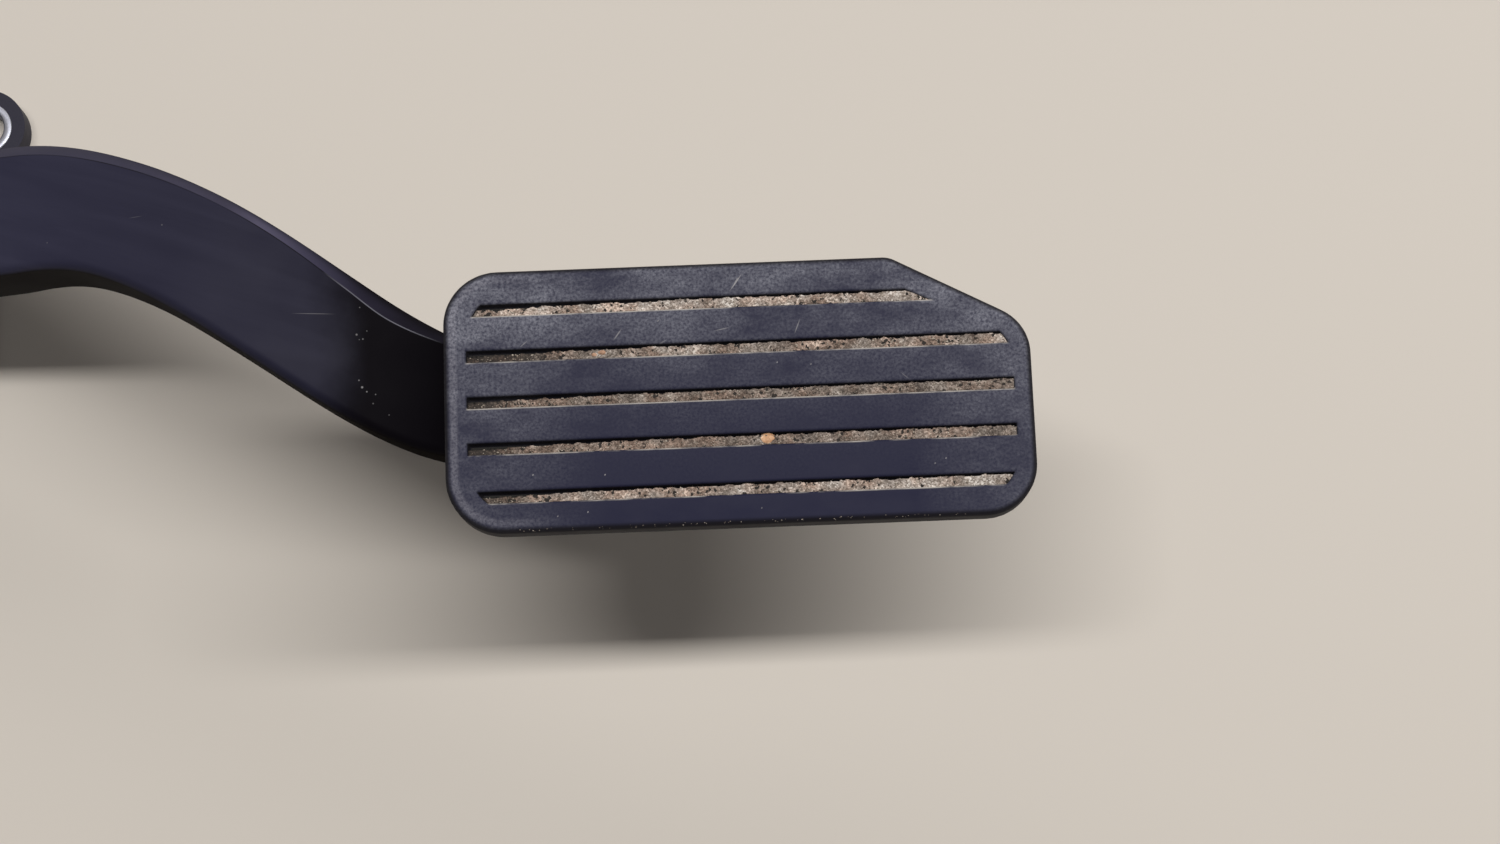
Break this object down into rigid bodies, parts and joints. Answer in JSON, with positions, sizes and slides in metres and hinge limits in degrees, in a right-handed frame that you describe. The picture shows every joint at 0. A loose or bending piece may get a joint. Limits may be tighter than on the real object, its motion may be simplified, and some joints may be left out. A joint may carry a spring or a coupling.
{
  "type": "accelerator pedal",
  "caption": "Car accelerator pedal: a cranked arm with a grooved tread pad turns in a bolt-on housing with return springs and a position sensor.",
  "frame": {"origin": "on the mounting face, under the middle of the pedal shaft", "axes": "+Z out of the mounting face towards the driver, +X along the arm to the toe of the pad, +Y along the shaft towards the sensor"},
  "size_m": [0.3515, 0.1201, 0.088],
  "materials": {
    "housing_plastic": "matte",
    "cover_plastic": "matte",
    "arm_plastic": "satin",
    "pad_rubber": "matte",
    "sleeve_steel": "satin",
    "shaft_steel": "satin",
    "spring_steel": "satin",
    "zinc_screw": "satin",
    "bush_plastic": "satin",
    "slide_plastic": "satin",
    "bumper_rubber": "matte",
    "gasket_rubber": "matte",
    "board_laminate": "satin",
    "chip_plastic": "matte",
    "capacitor_ceramic": "satin",
    "terminal_brass": "polished",
    "magnet_ferrite": "matte",
    "friction_lining": "matte"
  },
  "bodies": {
    "housing": {"housing": "housing_plastic", "side_cover": "cover_plastic", "cover_screws": "zinc_screw", "mounting_sleeves": "sleeve_steel", "bush_cover_side": "bush_plastic", "bush_sensor_side": "bush_plastic", "rest_bumper": "bumper_rubber", "stop_bumper": "bumper_rubber", "spring_seat": "slide_plastic", "sensor_cap": "cover_plastic", "sensor_gasket": "gasket_rubber", "sensor_cap_screws": "zinc_screw", "circuit_board": "board_laminate", "hall_sensors": "chip_plastic", "board_capacitors": "capacitor_ceramic", "connector_terminals": "terminal_brass", "return_spring_outer": "spring_steel", "return_spring_inner": "spring_steel"},
    "pedal": {"pedal_arm": "arm_plastic", "pedal_pad": "pad_rubber", "pad_push_nuts": "zinc_screw", "pivot_shaft": "shaft_steel", "hub_lock_pin": "shaft_steel", "magnet_carrier": "slide_plastic", "magnets": "magnet_ferrite"},
    "thrust": {"thrust_block": "slide_plastic", "friction_pads": "friction_lining"}
  },
  "joints": [
    {"name": "pedal_hinge", "type": "hinge", "parent": "housing", "child": "pedal", "pos_m": [0, 0, 0.038], "axis": [0, 1, 0], "range_deg": [0, 14], "stiffness_Nm_per_rad": 12, "springref_deg": -11.46},
    {"name": "thrust_slide", "type": "slide", "parent": "housing", "child": "thrust", "axis": [-1, 0, 0], "range_m": [0, 0.0054], "deforming": ["return_spring_outer", "return_spring_inner"]}
  ],
  "couplings": [
    {"joint": "thrust_slide", "follows": "pedal_hinge", "m_per_rad": 0.021945}
  ]
}
